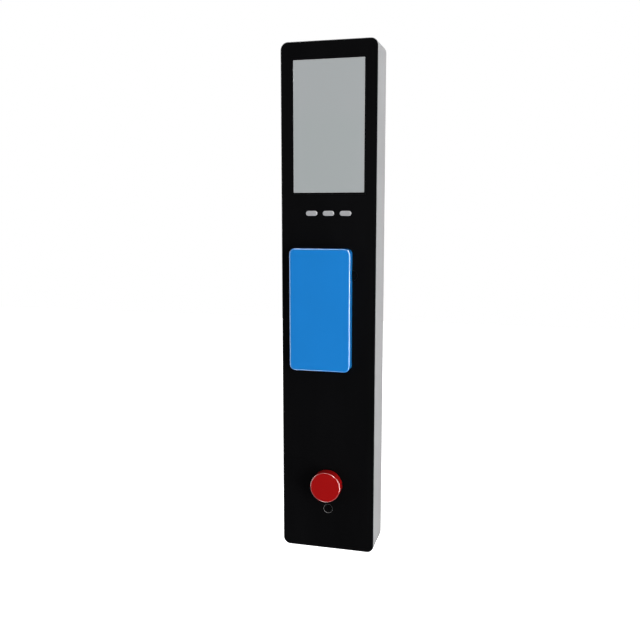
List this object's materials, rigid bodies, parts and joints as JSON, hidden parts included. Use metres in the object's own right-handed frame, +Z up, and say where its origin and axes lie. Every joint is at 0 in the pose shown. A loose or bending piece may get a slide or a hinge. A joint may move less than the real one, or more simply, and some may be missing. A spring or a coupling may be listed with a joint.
{
  "type": "ticket vending machine",
  "caption": "Slim wall-hung ticket machine: rear housing, side-hinged front with screen, soft keys, card reader and push button, and a ticket printer inside.",
  "frame": {"origin": "centre of the rear mounting face, on the wall", "axes": "+Z up along the body, -Y out of the front panel, +X to the viewer's right"},
  "size_m": [0.17, 0.0962, 0.898],
  "materials": {
    "housing_metal": "satin",
    "black_panel": "satin",
    "screen_glass": "gloss",
    "key_metal": "satin",
    "blue_plastic": "gloss",
    "red_plastic": "gloss",
    "dark_plastic": "matte",
    "grey_plastic": "matte",
    "light_plastic": "matte",
    "plated_steel": "brushed",
    "polished_steel": "polished",
    "brass": "satin",
    "rubber": "matte",
    "circuit_board": "satin",
    "paper": "matte",
    "card_core": "matte",
    "cable_sheath": "satin"
  },
  "bodies": {
    "cabinet": {"housing_shell": "housing_metal", "back_plate": "plated_steel", "hinge_lugs": "plated_steel", "hinge_screws": "plated_steel", "door_seal": "rubber", "power_supply": "plated_steel", "terminal_block": "grey_plastic", "earth_stud": "brass", "cable_grommet": "rubber", "modem": "grey_plastic", "power_loom": "cable_sheath", "roll_bracket": "plated_steel", "roll_spindle": "light_plastic", "printer_chassis": "plated_steel", "printer_screws": "plated_steel", "print_head": "dark_plastic", "head_spring": "polished_steel", "printer_motor": "plated_steel", "cutter_body": "grey_plastic", "chute_channel": "plated_steel", "chute_cover": "plated_steel", "outlet_bezel": "dark_plastic", "latch_keeper": "plated_steel", "catch_magnet": "dark_plastic"},
    "door": {"door_frame": "housing_metal", "hinge_pins": "polished_steel", "front_panel": "black_panel", "panel_studs": "plated_steel", "display_glass": "screen_glass", "lcd_module": "plated_steel", "display_bracket": "plated_steel", "bracket_nuts": "brass", "controller_board": "circuit_board", "key_board": "circuit_board", "reader_base": "dark_plastic", "reader_cover": "blue_plastic", "reader_board": "circuit_board", "reader_screws": "plated_steel", "sensor_barrel": "grey_plastic", "sensor_lens": "dark_plastic", "sensor_nut": "plated_steel", "button_body": "dark_plastic", "button_nut": "plated_steel", "button_contacts": "light_plastic", "button_spring": "polished_steel", "lock_barrel": "grey_plastic", "lock_nut": "plated_steel", "catch_plate": "plated_steel"},
    "left_key": {"key_left": "key_metal"},
    "middle_key": {"key_middle": "key_metal"},
    "right_key": {"key_right": "key_metal"},
    "red_button": {"button_cap": "red_plastic"},
    "lock_rotor": {"lock_plug": "dark_plastic", "lock_cam": "plated_steel"},
    "roll": {"paper_roll": "paper", "roll_core": "card_core"},
    "platen": {"platen_roller": "rubber", "platen_gear": "light_plastic"},
    "motor_rotor": {"motor_pinion": "brass"},
    "blade": {"cutter_blade": "polished_steel"}
  },
  "joints": [
    {"name": "door_swing", "type": "hinge", "parent": "cabinet", "child": "door", "pos_m": [-0.077, -0.063, 0], "axis": [0, 0, -1], "range_deg": [0, 90]},
    {"name": "left_key_press", "type": "slide", "parent": "door", "child": "left_key", "axis": [0, 1, 0], "range_m": [0, 0.001], "stiffness_N_per_m": 400, "springref_m": -0.0005},
    {"name": "middle_key_press", "type": "slide", "parent": "door", "child": "middle_key", "axis": [0, 1, 0], "range_m": [0, 0.001], "stiffness_N_per_m": 400, "springref_m": -0.0005},
    {"name": "right_key_press", "type": "slide", "parent": "door", "child": "right_key", "axis": [0, 1, 0], "range_m": [0, 0.001], "stiffness_N_per_m": 400, "springref_m": -0.0005},
    {"name": "button_press", "type": "slide", "parent": "door", "child": "red_button", "axis": [0, 1, 0], "range_m": [0, 0.0035], "stiffness_N_per_m": 1200, "springref_m": -0.002, "deforming": ["button_spring"]},
    {"name": "lock_turn", "type": "hinge", "parent": "door", "child": "lock_rotor", "pos_m": [0, -0.06, -0.3735], "axis": [0, -1, 0], "range_deg": [0, 90]},
    {"name": "roll_spin", "type": "hinge", "parent": "cabinet", "child": "roll", "pos_m": [0, -0.0282, -0.156], "axis": [1, 0, 0], "continuous": true},
    {"name": "platen_spin", "type": "hinge", "parent": "cabinet", "child": "platen", "pos_m": [0, -0.0224, -0.23], "axis": [1, 0, 0], "continuous": true},
    {"name": "pinion_spin", "type": "hinge", "parent": "cabinet", "child": "motor_rotor", "pos_m": [0, -0.03371, -0.21869], "axis": [1, 0, 0], "continuous": true},
    {"name": "cutter_slide", "type": "slide", "parent": "cabinet", "child": "blade", "axis": [0, 1, 0], "range_m": [0, 0.0054]}
  ],
  "couplings": [
    {"joint": "pinion_spin", "follows": "platen_spin", "ratio": -2.3333}
  ]
}
